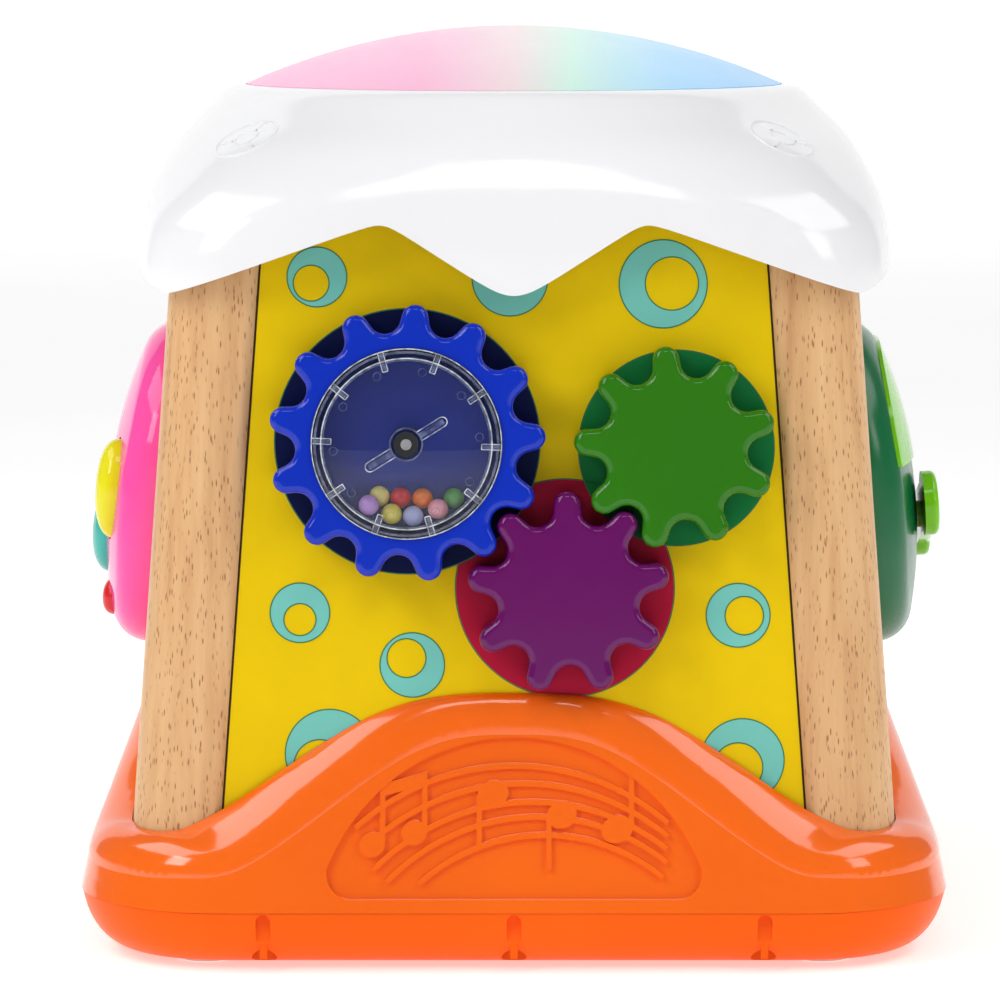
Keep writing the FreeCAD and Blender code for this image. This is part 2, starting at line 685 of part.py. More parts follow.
# ---------------------------------------------------------------- cap and drum
CAP_PROFILE = [                     # half width, squareness and height
    (106.5, 6.3, 180.0), (107.0, 6.3, 190.0), (107.1, 5.9, 198.0), (105.6, 4.7, 209.5),
    (101.4, 3.5, 220.0), (98.0, 2.9, 226.0), (93.5, 2.45, 231.0), (88.0, 2.15, 236.5),
    (80.2, 2.0, 241.0),
]
RING_POINTS = 48
SCALLOP_LOW, SCALLOP_RISE, SCALLOP_FALL, SCALLOP_PEAK = 182.6, 0.67, 0.36, 219.6
CAP_BOSSES = [(-62, 62), (62, 62), (-62, -62), (62, -62)]
DECK_Z = POST_TOP
DECK_TOP = DECK_Z + DECK_THICK
BUMPERS = [polar(72, math.radians(angle)) for angle in (0, 90, 180, 270)]
LIGHT_Z = 220.0
LIGHT_RADIUS = 56.0


def squircle(half, squareness, z):
    """A level ring between a circle (squareness 2) and a rounded square (above 4)."""
    points = []
    for i in range(RING_POINTS):
        angle = 2 * math.pi * (i + 0.5) / RING_POINTS
        x, y = math.cos(angle), math.sin(angle)
        reach = half / (abs(x) ** squareness + abs(y) ** squareness) ** (1 / squareness)
        points.append(Vector(reach * x, reach * y, z))
    return smooth_ring(points)


def inset(levels, skin):
    """Move a profile of (half width, height) points inwards, square to itself."""
    found = []
    for i, (half, z) in enumerate(levels):
        half_a, z_a = levels[max(0, i - 1)]
        half_b, z_b = levels[min(len(levels) - 1, i + 1)]
        length = math.hypot(half_b - half_a, z_b - z_a)
        found.append((half - skin * (z_b - z_a) / length, z + skin * (half_b - half_a) / length))
    return found


def cap_solid(skin):
    levels = inset([(half, z) for half, _, z in CAP_PROFILE], skin)
    rings = []
    for (half, z), (_, squareness, _) in zip(levels, CAP_PROFILE):
        rings.append(squircle(half, squareness, z))
    return Part.makeLoft(rings, True, False)


def smooth_low(a, b, softness):
    return (a + b) / 2 - math.hypot((a - b) / 2, softness)


def scallop_height(x):
    """The cap's lower edge along one side: a point in the middle, crests, then the corner lobes."""
    rise = SCALLOP_LOW + SCALLOP_RISE * math.hypot(x, 4.0)
    fall = SCALLOP_PEAK - SCALLOP_FALL * abs(x)
    edge = smooth_low(rise, fall, 1.6)
    return -smooth_low(-edge, -184.8, 1.0)


def scallop_cut():
    """Everything below the front's lower edge, out to the diagonals."""
    reach = 125.0
    steps = 62
    points = [Vector(-reach + 2 * reach * i / steps, 0, 0) for i in range(steps + 1)]
    for point in points:
        point.z = scallop_height(point.x)
    curve = Part.BSplineCurve()
    curve.interpolate(points)
    low = [Vector(reach, 0, 150), Vector(-reach, 0, 150)]
    edges = [curve.toShape(), Part.makeLine(points[-1], low[0]), Part.makeLine(*low),
             Part.makeLine(low[1], points[0])]
    wall = Part.Face(Part.Wire(edges)).extrude(Vector(0, -reach, 0))
    return wall.common(prism([(0, 0), (reach, -reach), (-reach, -reach)], 140, 230))


def cap_shell():
    outer = cap_solid(0)
    inner = cap_solid(CAP_WALL)
    skirt = inner.fuse(squircle_plug())
    shell = outer.cut(skirt)
    shell = shell.cut(rod(DRUM_RADIUS + 0.5, 228, 250))
    bosses = [rod(BOSS, DECK_TOP, 240, at).common(outer) for at in CAP_BOSSES]
    shell = shell.multiFuse(bosses)
    for at in CAP_BOSSES:
        shell = shell.cut(rod(SHANK, DECK_TOP - 1, DECK_TOP + 9, at))
    for cutter in around(scallop_cut()):
        shell = shell.cut(cutter)
    return shell


def squircle_plug():
    """Opens the cap's inside downwards."""
    half = CAP_PROFILE[0][0] - CAP_WALL
    return Part.makeLoft([squircle(half, 6.3, 170.0), squircle(half, 6.3, 180.5)], True, False)


def drum_head():
    """The translucent head: a shallow dome, its side wall and the flange that holds it in."""
    centre = DRUM_EDGE_TOP - math.sqrt(DRUM_BALL ** 2 - DRUM_RADIUS ** 2)
    dome = Part.makeSphere(DRUM_BALL, Vector(0, 0, centre)).common(
        rod(DRUM_RADIUS, DRUM_EDGE_TOP - 0.001, 270))
    hollow = Part.makeSphere(DRUM_BALL - DRUM_WALL, Vector(0, 0, centre)).common(
        rod(DRUM_RADIUS - DRUM_WALL, FLANGE_Z - 1, 270))
    side = rod(DRUM_RADIUS, FLANGE_Z, DRUM_EDGE_TOP)
    flange = rod(FLANGE_RADIUS, FLANGE_Z, FLANGE_Z + FLANGE_THICK)
    return fuse([dome, side, flange]).cut(hollow)


def rubber_dome(at, z0, z1, radius):
    """A hollow rubber cone spring with a solid top."""
    height = z1 - z0
    outside = Part.makeCone(radius, radius * 0.55, height, Vector(at[0], at[1], z0))
    inside = Part.makeCone(radius - 1.0, radius * 0.45 - 0.4, height * 0.7,
                           Vector(at[0], at[1], z0))
    return outside.cut(inside)


def cap_parts():
    save("cap_shell", cap_shell())
    save("drum_head", drum_head())
    deck = block(-DECK_HALF, DECK_HALF, -DECK_HALF, DECK_HALF, DECK_Z, DECK_TOP)
    upright_edges = [e for e in deck.Edges if abs(e.BoundBox.ZLength - DECK_THICK) < 0.01]
    deck = deck.makeFillet(12.0, upright_edges)
    deck = deck.multiFuse([rod(4.0, DECK_Z + 1, LIGHT_Z, polar(46, math.radians(a)))
                           for a in (45, 135, 225, 315)])
    deck = deck.multiFuse([tube(7.5, 5.6, DECK_Z + 1, DECK_TOP + 4, at) for at in BUMPERS])
    deck = deck.cut(rod(14, DECK_Z - 1, DECK_TOP + 1))
    for at in CAP_BOSSES:
        deck = deck.cut(rod(SHANK + 0.25, DECK_Z - 1, DECK_TOP + 1, at))
    for corner in CORNERS:
        deck = deck.cut(screw_place(rod(SHANK + 0.25, DECK_Z - 1, DECK_TOP + 1), corner, POST_TOP))
    save("top_deck", deck)
    save("deck_screws", *[screw_place(down_screw(16, (0, 0), DECK_TOP), c, POST_TOP) for c in CORNERS])
    save("cap_screws", *[screw(10, at, DECK_Z) for at in CAP_BOSSES])
    save("drum_bumpers", *[rubber_dome(at, DECK_TOP, FLANGE_Z - 0.1, 5.4) for at in BUMPERS])
    board = rod(LIGHT_RADIUS, LIGHT_Z, LIGHT_Z + BOARD_THICK)
    board = board.cut(rod(6, LIGHT_Z - 1, LIGHT_Z + 3))
    save("light_board", board)
    top = LIGHT_Z + BOARD_THICK
    lamps = []
    for angle in range(0, 360, 60):
        at = polar(40, math.radians(angle))
        lamps.append(rod(2.5, top, top + 4, at).fuse(Part.makeSphere(2.5, Vector(*at, top + 4))))
    save("drum_lamps", *[lamp.removeSplitter() for lamp in lamps])
    switch = block(-4, 4, -69, -60, DECK_TOP, FLANGE_Z - 6.5).fuse(
        rod(1.5, FLANGE_Z - 7, FLANGE_Z - 4, (0, -65)))
    switch.rotate(Vector(0, 0, 0), Vector(0, 0, 1), 45)
    save("drum_switch", switch)


# ---------------------------------------------------------------- gears
def gear_profile(teeth, tip, root, first):
    """The outline of a round-toothed gear, as a face on z = 0. first is one tooth's direction."""
    pitch = 2 * math.pi / teeth
    tip_out, gap_out = tip - TOOTH_TIP, root + GAP_ROUND
    edges = []
    previous = None
    start = None
    for i in range(teeth):
        at = first + i * pitch
        tooth = Vector(*polar(tip_out, at), 0)
        for way in (-1, 1):
            gap = Vector(*polar(gap_out, at + way * pitch / 2), 0)
            between = gap - tooth
            lean = math.acos((TOOTH_TIP + GAP_ROUND) / between.Length)
            heading = math.atan2(between.y, between.x) - way * lean
            normal = Vector(math.cos(heading), math.sin(heading), 0)
            on_tooth, on_gap = tooth + normal * TOOTH_TIP, gap - normal * GAP_ROUND
            if way < 0:
                if previous is None:
                    start = on_gap
                else:
                    low = Vector(*polar(root, at - pitch / 2), 0)
                    edges.append(Part.Arc(previous, low, on_gap).toShape())
                edges.append(Part.makeLine(on_gap, on_tooth))
                entered = on_tooth
            else:
                edges.append(Part.Arc(entered, Vector(*polar(tip, at), 0), on_tooth).toShape())
                edges.append(Part.makeLine(on_tooth, on_gap))
                previous = on_gap
    low = Vector(*polar(root, first - pitch / 2), 0)
    edges.append(Part.Arc(previous, low, start).toShape())
    return Part.Face(Part.Wire(edges))


def gear_places():
    small = GEAR_MODULE * SMALL_TEETH
    large = GEAR_MODULE * (SMALL_TEETH + BLUE_TEETH) / 2
    return {
        "purple": PURPLE_AT,
        "green": polar(small, GREEN_BEARING, PURPLE_AT),
        "blue": polar(large, BLUE_BEARING, PURPLE_AT),
    }


def meshed_tooth(bearing, teeth):
    """One tooth's direction on a gear that meshes with the purple one, which lies at a bearing."""
    lead = (PURPLE_TOOTH - bearing) * SMALL_TEETH / teeth
    return bearing + math.pi - lead + math.pi / teeth


def gear_blank(teeth, tip, root, first):
    solid = gear_profile(teeth, tip, root, first).extrude(Vector(0, 0, GEAR_FRONT - GEAR_BACK))
    front = [e for e in solid.Edges if e.BoundBox.ZMin > GEAR_FRONT - GEAR_BACK - 0.01]
    solid = solid.makeFillet(GEAR_ROUND, front)
    solid.translate(Vector(0, 0, GEAR_BACK))
    return solid


def small_gear(first):
    gear = gear_blank(SMALL_TEETH, SMALL_TIP, SMALL_ROOT, first)
    pocket = tube(SMALL_ROOT - GEAR_SKIN, 6.5, GEAR_BACK - 1, GEAR_FRONT - GEAR_SKIN)
    return gear.cut(pocket).cut(rod(AXLE, GEAR_BACK - 1, GEAR_FRONT - 3.5))


def blue_gear(first):
    gear = gear_blank(BLUE_TEETH, BLUE_TIP, BLUE_ROOT, first)
    chamber = rod(RATTLE_RADIUS + 0.05, RATTLE_FLOOR - 1.4, GEAR_FRONT + 5)
    return gear.cut(chamber).cut(rod(AXLE, GEAR_BACK - 1, 5))


def rattle_window():
    """The clear dome with its double ring, ten clips, hub tube and two prongs."""
    ball = (RATTLE_RADIUS ** 2 + WINDOW_RISE ** 2) / (2 * WINDOW_RISE)
    low = WINDOW_EDGE + WINDOW_RISE - ball
    envelope = Part.makeSphere(ball, Vector(0, 0, low)).common(rod(RATTLE_RADIUS, 2, 30))
    under = Part.makeSphere(ball - WINDOW_WALL, Vector(0, 0, low)).common(rod(30, 2, 30))
    dome = envelope.cut(under)
    walls = [tube(RATTLE_TRACK + 1.2, RATTLE_TRACK, RATTLE_FLOOR, 20),
             tube(RATTLE_RADIUS, RATTLE_RADIUS - 1.0, RATTLE_FLOOR, 20),
             tube(4.4, AXLE + 0.05, RATTLE_FLOOR, 20)]
    for i in range(10):
        clip = block(20.8, RATTLE_RADIUS - 0.5, -0.7, 0.7, 14.5, 20)
        clip = clip.fuse(block(RATTLE_TRACK + 0.5, RATTLE_RADIUS - 0.5, -0.7, 0.7, RATTLE_FLOOR, 20))
        clip.rotate(Vector(0, 0, 0), Vector(0, 0, 1), 34 + 36 * i)
        walls.append(clip)
    for angle in (32, 212):
        prong = block(3.9, 11.6, -1.35, 1.35, 12.5, 20).fuse(rod(1.35, 12.5, 20, (11.6, 0)))
        prong.rotate(Vector(0, 0, 0), Vector(0, 0, 1), angle)
        walls.append(prong)
    inside = [wall.common(envelope) for wall in walls]
    return fuse([dome] + inside).cut(rod(AXLE + 0.05, 0, 17.2)).cut(rod(1.55, 0, 30))


def bush():
    return fuse([rod(BUSH, -7, 0), rod(8, 0, 0.6)]).cut(rod(AXLE + AXLE_RUN, -9, 9))


def retainer():
    return tube(7.5, AXLE, -9.2, -7.4)


def moved(shape, at):
    placed = shape.copy()
    placed.translate(Vector(at[0], at[1], 0))
    return placed


def gear_parts():
    places = gear_places()

    def put(name, shape, colour):
        save(name, on_wall(moved(shape, places[colour]), "front"))

    put("purple_gear", small_gear(PURPLE_TOOTH), "purple")
    put("green_gear", small_gear(meshed_tooth(GREEN_BEARING, SMALL_TEETH)), "green")
    put("blue_gear", blue_gear(meshed_tooth(BLUE_BEARING, BLUE_TEETH)), "blue")
    for colour in ("purple", "green"):
        put("%s_axle" % colour, rod(AXLE, -11, GEAR_FRONT - 3.5), colour)
        put("%s_retainer" % colour, retainer(), colour)
    axle = fuse([rod(AXLE, -11, 17.0), rod(1.5, 16, 20.2)])
    put("blue_axle", axle, "blue")
    put("blue_retainer", retainer(), "blue")
    put("rattle_floor", tube(RATTLE_RADIUS, AXLE, RATTLE_FLOOR - 1.4, RATTLE_FLOOR), "blue")
    put("rattle_window", rattle_window(), "blue")
    ball = (RATTLE_RADIUS ** 2 + WINDOW_RISE ** 2) / (2 * WINDOW_RISE)
    crown = Part.makeSphere(ball, Vector(0, 0, WINDOW_EDGE + WINDOW_RISE - ball))
    put("rattle_cap", tube(3.4, 1.5, 17.3, 19.7).cut(crown), "blue")
    save("gear_bushes", *[on_wall(moved(bush(), at), "front") for at in places.values()])
    beads = [Part.makeSphere(BEAD, Vector(*bead)) for bead in BEADS]
    save("rattle_beads", *[on_wall(moved(bead, places["blue"]), "front") for bead in beads])


# ---------------------------------------------------------------- side housings
def pad_outline(grow):
    """The housings' outline as a face on the wall: straight sides and four large rounds."""
    side = PAD_HALF + grow
    low, high = PAD_CENTRE - PAD_DOWN - grow, PAD_CENTRE + PAD_UP + grow
    corners = [(side, low, PAD_LOWER_ROUND), (side, high, PAD_UPPER_ROUND),
               (-side, high, PAD_UPPER_ROUND), (-side, low, PAD_LOWER_ROUND)]
    arcs = []
    for x, y, base_round in corners:
        r = base_round + grow
        across = math.copysign(r, x)
        up = r if y == high else -r
        beside, over = Vector(x, y - up, 0), Vector(x - across, y, 0)
        cut = 1 - math.sqrt(0.5)
        middle = Vector(x - across * cut, y - up * cut, 0)
        forward = (x > 0) == (y == high)
        ends = (beside, over) if forward else (over, beside)
        arcs.append((ends[0], middle, ends[1]))
    edges = []
    for i, (start, middle, end) in enumerate(arcs):
        edges.append(Part.makeLine(arcs[i - 1][2], start))
        edges.append(Part.Arc(start, middle, end).toShape())
    return Part.Face(Part.Wire(edges))


def pad_solid(skin, top):
    """A housing's outside, or its hollow when skin is more than nothing."""
    wall = pad_outline(-skin).extrude(Vector(0, 0, 40))
    ball = Part.makeSphere(PAD_BALL - skin, Vector(0, PAD_CENTRE + 1, top - PAD_BALL))
    solid = wall.common(ball)
    crown = [e for e in solid.Edges if e.BoundBox.ZMin > 4]
    rounded = solid.makeFillet(PAD_EDGE - skin, crown)
    if skin > 0:
        return rounded.fuse(pad_outline(-skin).extrude(Vector(0, 0, -3)))
    return rounded


def pad_screws(radius, start):
    return [rod(radius, start, 9, at) for at in PAD_BOSSES]


def housing(top):
    outer = pad_solid(0, top)
    shell = outer.cut(pad_solid(PAD_SKIN, top))
    bosses = [rod(3.4, 0, 20, at).common(outer) for at in PAD_BOSSES]
    shell = shell.multiFuse(bosses)
    for at in PAD_BOSSES:
        shell = shell.cut(rod(SHANK, -1, 9.5, at))
    return shell


def oval(half_x, half_y, at, z):
    points = []
    for i in range(24):
        angle = 2 * math.pi * i / 24
        points.append(Vector(at[0] + half_x * math.cos(angle), at[1] + half_y * math.sin(angle), z))
    return smooth_ring(points)


def oval_solid(at, levels):
    return Part.makeLoft([oval(hx, hy, at, z) for hx, hy, z in levels], True, False)


def button(x, y, half_x, half_y, top):
    at = (x, y)
    flange = oval_solid(at, [(half_x + 1.5, half_y + 1.5, FLANGE_LOW),
                             (half_x + 1.5, half_y + 1.5, FLANGE_HIGH)])
    drop = min(CROWN_DROP, 0.7 * half_x)
    stem = oval_solid(at, [(half_x, half_y, FLANGE_HIGH - 0.5), (half_x, half_y, top - drop)])
    crown = oval_solid(at, [
        (half_x * share, half_y * share,
         top - drop + drop * (1 - share ** CROWN_POWER) ** (1 / CROWN_POWER))
        for share in CROWN_SHARES])
    return flange.fuse(stem).fuse(crown)


def left_parts():
    shell = housing(PAD_TOP)
    for x, y, half_x, half_y, top in BUTTONS.values():
        wide, high = half_x + BUTTON_GAP, half_y + BUTTON_GAP
        shell = shell.cut(oval_solid((x, y), [(wide, high, 8), (wide, high, 30)]))
    save("pink_housing", on_wall(shell, "left"))
    for name, form in BUTTONS.items():
        save("%s_button" % name, on_wall(button(*form), "left"))
        dome = rubber_dome(form[:2], BOARD_THICK, FLANGE_LOW - 0.1, 4.6)
        save("%s_spring" % name, on_wall(dome, "left"))
    board = [(-37, 108), (-21, 108), (-21, 82), (21, 82), (21, 108), (37, 108), (37, 140), (-37, 140)]
    save("button_board", on_wall(prism(board, 0, BOARD_THICK), "left"))


def cover_zone(extra):
    """Where the lime cover lies on the right housing."""
    zone = pad_outline(extra - 6.0).extrude(Vector(0, 0, 50))
    return zone.common(block(-60, 60, COVER_EDGE - extra, 200, 0, 60))


def handle():
    """The turning handle: a bar with two round ends on a spindle."""
    lobes = [rod(HANDLE_LOBE, HANDLE_LOW, HANDLE_HIGH, (way * HANDLE_REACH, 0)) for way in (-1, 1)]
    bar = block(-HANDLE_REACH, HANDLE_REACH, -7.2, 7.2, HANDLE_LOW, HANDLE_HIGH)
    grip = fuse(lobes + [bar])
    top = [e for e in grip.Edges if e.BoundBox.ZMin > HANDLE_HIGH - 0.01]
    grip = grip.makeFillet(1.8, top)
    grip = fuse([grip, rod(4.0, 11, HANDLE_LOW + 0.5)])
    grip.rotate(Vector(0, 0, 0), Vector(0, 0, 1), math.degrees(HANDLE_TILT))
    return moved(grip, HANDLE_AT)


def right_parts():
    bed = pad_solid(1.2, GREEN_TOP)
    shell = housing(GREEN_TOP)
    shell = shell.cut(cover_zone(GAP).cut(bed))
    shell = shell.cut(rod(4.0 + AXLE_RUN, 5, 30, HANDLE_AT))
    save("green_housing", on_wall(shell, "right"))
    cover = pad_solid(-0.9, GREEN_TOP).common(cover_zone(0)).cut(bed)
    save("lime_cover", on_wall(cover, "right"))
    save("turn_handle", on_wall(handle(), "right"))
    save("handle_retainer", on_wall(tube(7.5, 4.0, 14.4, 16.2, HANDLE_AT), "right"))
    screws = [screw(13, at, -PANEL_THICK) for at in PAD_BOSSES]
    save("housing_screws", *[on_wall(s, side) for s in screws for side in ("left", "right")])


def main():
    base_parts()
    frame_parts()
    cap_parts()
    gear_parts()
    left_parts()
    right_parts()


main()
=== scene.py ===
"""Looks of the baby activity cube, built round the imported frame. Metres, +Z up, gears face -Y."""
import json
import math

import bmesh
import bpy
from mathutils import Matrix, Vector


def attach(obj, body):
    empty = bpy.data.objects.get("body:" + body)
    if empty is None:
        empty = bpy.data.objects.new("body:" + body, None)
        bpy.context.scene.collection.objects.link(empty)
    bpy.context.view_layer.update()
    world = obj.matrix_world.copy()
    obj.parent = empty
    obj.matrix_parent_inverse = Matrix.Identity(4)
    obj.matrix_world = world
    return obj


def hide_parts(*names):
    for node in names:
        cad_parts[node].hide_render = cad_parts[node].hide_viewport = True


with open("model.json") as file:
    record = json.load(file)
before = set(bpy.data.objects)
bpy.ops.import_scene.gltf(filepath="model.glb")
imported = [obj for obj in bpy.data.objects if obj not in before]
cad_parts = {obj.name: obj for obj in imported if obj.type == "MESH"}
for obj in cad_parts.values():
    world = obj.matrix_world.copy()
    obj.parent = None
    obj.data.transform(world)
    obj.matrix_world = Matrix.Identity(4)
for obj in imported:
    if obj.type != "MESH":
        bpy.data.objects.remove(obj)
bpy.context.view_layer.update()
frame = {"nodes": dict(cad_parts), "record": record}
NODES = frame["nodes"]

# Sizes below are in millimetres, unless they say otherwise.
MM = 0.001
LEAN = math.radians(4.07)           # how far the walls lean inwards
WALL_OUT = 107.6                    # half width over the walls, carried down to the table
BLUE_AT = (-29.392, 145.207)        # the blue gear's axis on the front wall
SIDES = ("front", "right", "back", "left")


# ---------------------------------------------------------------- places
def on_wall(side, x, y, z=0.0):
    """A point in a wall's own frame (across, up the slope, outwards) to the scene, in metres."""
    c, s = math.cos(LEAN), math.sin(LEAN)
    px, py, pz = x, s * y - c * z - WALL_OUT, c * y + s * z
    for _ in range(SIDES.index(side)):
        px, py = -py, px
    return Vector((px, py, pz)) * MM


# ---------------------------------------------------------------- meshes
def mesh_object(name, verts, faces, materials, smooth=True):
    mesh = bpy.data.meshes.new(name)
    mesh.from_pydata([tuple(v) for v in verts], [], faces)
    mesh.validate()
    mesh.update()
    for material in materials:
        mesh.materials.append(material)
    mesh.polygons.foreach_set("use_smooth", [smooth] * len(mesh.polygons))
    obj = bpy.data.objects.new(name, mesh)
    bpy.context.scene.collection.objects.link(obj)
    return obj


def ring_band(side, outer, inner, height, steps=96):
    """Vertices and faces of a flat band between two circles (x, y, r) on a wall."""
    verts = []
    for cx, cy, r in (outer, inner):
        for i in range(steps):
            a = 2 * math.pi * i / steps
            verts.append(on_wall(side, cx + r * math.cos(a), cy + r * math.sin(a), height))
    faces = []
    for i in range(steps):
        j = (i + 1) % steps
        faces.append((i, j, steps + j, steps + i))
    return verts, faces


def disc(side, circle, height, steps=128):
    """A flat disc (x, y, r) on a wall."""
    cx, cy, r = circle
    verts = []
    for i in range(steps):
        a = 2 * math.pi * i / steps
        verts.append(on_wall(side, cx + r * math.cos(a), cy + r * math.sin(a), height))
    return verts, [tuple(range(steps))]


def with_sideways(points, closed):
    """Each point of a path, with the unit direction to its right."""
    found = []
    for i, (x, y) in enumerate(points):
        ax, ay = points[i - 1] if closed or i else points[i]
        bx, by = points[(i + 1) % len(points)] if closed or i < len(points) - 1 else points[i]
        length = math.hypot(bx - ax, by - ay)
        found.append((x, y, (by - ay) / length, (ax - bx) / length))
    return found


def strip_faces(count, row, closed):
    """Faces between the rows of vertices that follow one another along a path."""
    faces = []
    for i in range(count if closed else count - 1):
        j = (i + 1) % count
        for k in range(row - 1):
            faces.append((row * i + k, row * j + k, row * j + k + 1, row * i + k + 1))
    return faces


def joined(parts):
    """One list of vertices and one of faces, from several pairs of them."""
    verts, faces = [], []
    for part_verts, part_faces in parts:
        start = len(verts)
        verts += part_verts
        faces += [tuple(start + i for i in face) for face in part_faces]
    return verts, faces


# ---------------------------------------------------------------- materials
class Nodes:
    """A small helper round one material's node tree."""

    def __init__(self, name):
        self.material = bpy.data.materials.new(name)
        self.material.use_nodes = True
        self.tree = self.material.node_tree
        self.shader = self.tree.nodes["Principled BSDF"]
        self.coords = self.tree.nodes.new("ShaderNodeTexCoord")

    def add(self, kind, **values):
        node = self.tree.nodes.new(kind)
        for key, value in values.items():
            if key in node.inputs:
                node.inputs[key].default_value = value
            else:
                setattr(node, key, value)
        return node

    def link(self, out_node, out_name, in_node, in_name):
        self.tree.links.new(out_node.outputs[out_name], in_node.inputs[in_name])

    def noise(self, scale, detail=4.0, roughness=0.5, stretch=None):
        node = self.add("ShaderNodeTexNoise", Scale=scale, Detail=detail, Roughness=roughness)
        if stretch:
            mapping = self.add("ShaderNodeMapping")
            mapping.inputs["Scale"].default_value = stretch
            self.link(self.coords, "Object", mapping, "Vector")
            self.link(mapping, "Vector", node, "Vector")
        else:
            self.link(self.coords, "Object", node, "Vector")
        return node

    def ramp(self, source, out_name, stops):
        node = self.add("ShaderNodeValToRGB")
        elements = node.color_ramp.elements
        while len(elements) < len(stops):
            elements.new(0.5)
        for element, (position, colour) in zip(elements, stops):
            element.position = position
            element.color = colour
        self.link(source, out_name, node, "Fac")
        return node

    def set(self, **values):
        for key, value in values.items():
            self.shader.inputs[key.replace("_", " ")].default_value = value


def srgb(r, g, b):
    """A colour in everyday 0 to 255 steps to the renderer's linear values."""
    def one(v):
        v /= 255.0
        return v / 12.92 if v <= 0.04045 else ((v + 0.055) / 1.055) ** 2.4
    return (one(r), one(g), one(b), 1.0)


def shade(colour, amount):
    return tuple(min(1.0, c * amount) for c in colour[:3]) + (1.0,)


def roughness_from(nodes, low, high, scale):
    """Fine handling marks: the roughness drifts between two values."""
    noise = nodes.noise(scale, 6.0, 0.6)
    spread = nodes.add("ShaderNodeMapRange")
    spread.inputs["From Min"].default_value = 0.3
    spread.inputs["From Max"].default_value = 0.7
    spread.inputs["To Min"].default_value = low
    spread.inputs["To Max"].default_value = high
    nodes.link(noise, "Fac", spread, "Value")
    nodes.link(spread, "Result", nodes.shader, "Roughness")


def bump_from(nodes, source, out_name, strength, distance):
    """Raise the surface where the source is bright."""
    bump = nodes.add("ShaderNodeBump")
    bump.inputs["Strength"].default_value = strength
    bump.inputs["Distance"].default_value = distance
    nodes.link(source, out_name, bump, "Height")
    nodes.link(bump, "Normal", nodes.shader, "Normal")


def plastic(name, colour, rough=(0.2, 0.3), grain=0.03, coat=0.0, inside=0.0, spread=0.05,
            specular=0.5):
    """Moulded plastic: a slight drift in colour, handling marks and a faint moulding ripple."""
    nodes = Nodes(name)
    drift = nodes.noise(14.0, 3.0, 0.5)
    ramp = nodes.ramp(drift, "Fac", [(0.3, shade(colour, 1 - spread)),
                                     (0.7, shade(colour, 1 + spread))])
    nodes.link(ramp, "Color", nodes.shader, "Base Color")
    roughness_from(nodes, rough[0], rough[1], 90.0)
    ripple = nodes.noise(240.0, 5.0, 0.55)
    bump_from(nodes, ripple, "Fac", grain, 0.0004)
    nodes.set(Specular_IOR_Level=specular, Coat_Weight=coat, Coat_Roughness=0.06)
    if inside:
        nodes.set(Subsurface_Weight=inside, Subsurface_Scale=0.004)
        nodes.shader.inputs["Subsurface Radius"].default_value = (1.0, 0.8, 0.6)
    return nodes.material


def beech():
    """Clear-lacquered beech: long soft grain and many short dark flecks along the post."""
    nodes = Nodes("beech")
    grain = nodes.noise(6.0, 8.0, 0.62, (30.0, 30.0, 1.4))
    tone = nodes.ramp(grain, "Fac", [(0.30, srgb(204, 150, 98)), (0.50, srgb(222, 174, 120)),
                                     (0.72, srgb(232, 188, 134))])
    fleck = nodes.add("ShaderNodeTexVoronoi", Scale=1.0, Randomness=1.0)
    fleck.feature = "F1"
    mapping = nodes.add("ShaderNodeMapping")
    mapping.inputs["Scale"].default_value = (1150.0, 1150.0, 230.0)
    nodes.link(nodes.coords, "Object", mapping, "Vector")
    nodes.link(mapping, "Vector", fleck, "Vector")
    spots = nodes.ramp(fleck, "Distance", [(0.16, (1, 1, 1, 1)), (0.32, (0, 0, 0, 1))])
    patches = nodes.noise(420.0, 2.0, 0.5, (1.0, 1.0, 0.35))
    choose = nodes.ramp(patches, "Fac", [(0.36, (0, 0, 0, 1)), (0.50, (1, 1, 1, 1))])
    both = nodes.add("ShaderNodeMath")
    both.operation = "MULTIPLY"
    nodes.tree.links.new(spots.outputs["Color"], both.inputs[0])
    nodes.tree.links.new(choose.outputs["Color"], both.inputs[1])
    mix = nodes.add("ShaderNodeMix")
    mix.data_type = "RGBA"
    mix.inputs["B"].default_value = srgb(164, 110, 66)
    nodes.tree.links.new(both.outputs["Value"], mix.inputs["Factor"])
    nodes.tree.links.new(tone.outputs["Color"], mix.inputs["A"])
    nodes.tree.links.new(mix.outputs["Result"], nodes.shader.inputs["Base Color"])
    bump_from(nodes, both, "Value", 0.3, 0.0001)
    nodes.set(Roughness=0.5, Coat_Weight=0.2, Coat_Roughness=0.25)
    return nodes.material


def printed(name, colour, rough=0.45):
    """Ink or paint on board, with a faint trace of its fibres."""
    nodes = Nodes(name)
    drift = nodes.noise(30.0, 4.0, 0.6)
    ramp = nodes.ramp(drift, "Fac", [(0.3, shade(colour, 0.96)), (0.7, shade(colour, 1.03))])
    nodes.link(ramp, "Color", nodes.shader, "Base Color")
    fibre = nodes.noise(700.0, 3.0, 0.6)
    bump_from(nodes, fibre, "Fac", 0.05, 0.0002)
    nodes.set(Roughness=rough, Specular_IOR_Level=0.12)
    return nodes.material


def clear(name, tint):
    """Clear moulded plastic with a few fingermarks."""
    nodes = Nodes(name)
    nodes.shader.inputs["Base Color"].default_value = tint
    roughness_from(nodes, 0.02, 0.06, 60.0)
    nodes.set(Transmission_Weight=1.0, IOR=1.3)
    return nodes.material


def metal(name, colour, rough=0.3):
    """Plain metal, uneven in polish."""
    nodes = Nodes(name)
    nodes.shader.inputs["Base Color"].default_value = colour
    roughness_from(nodes, rough - 0.08, rough + 0.1, 200.0)
    nodes.set(Metallic=1.0)
    return nodes.material


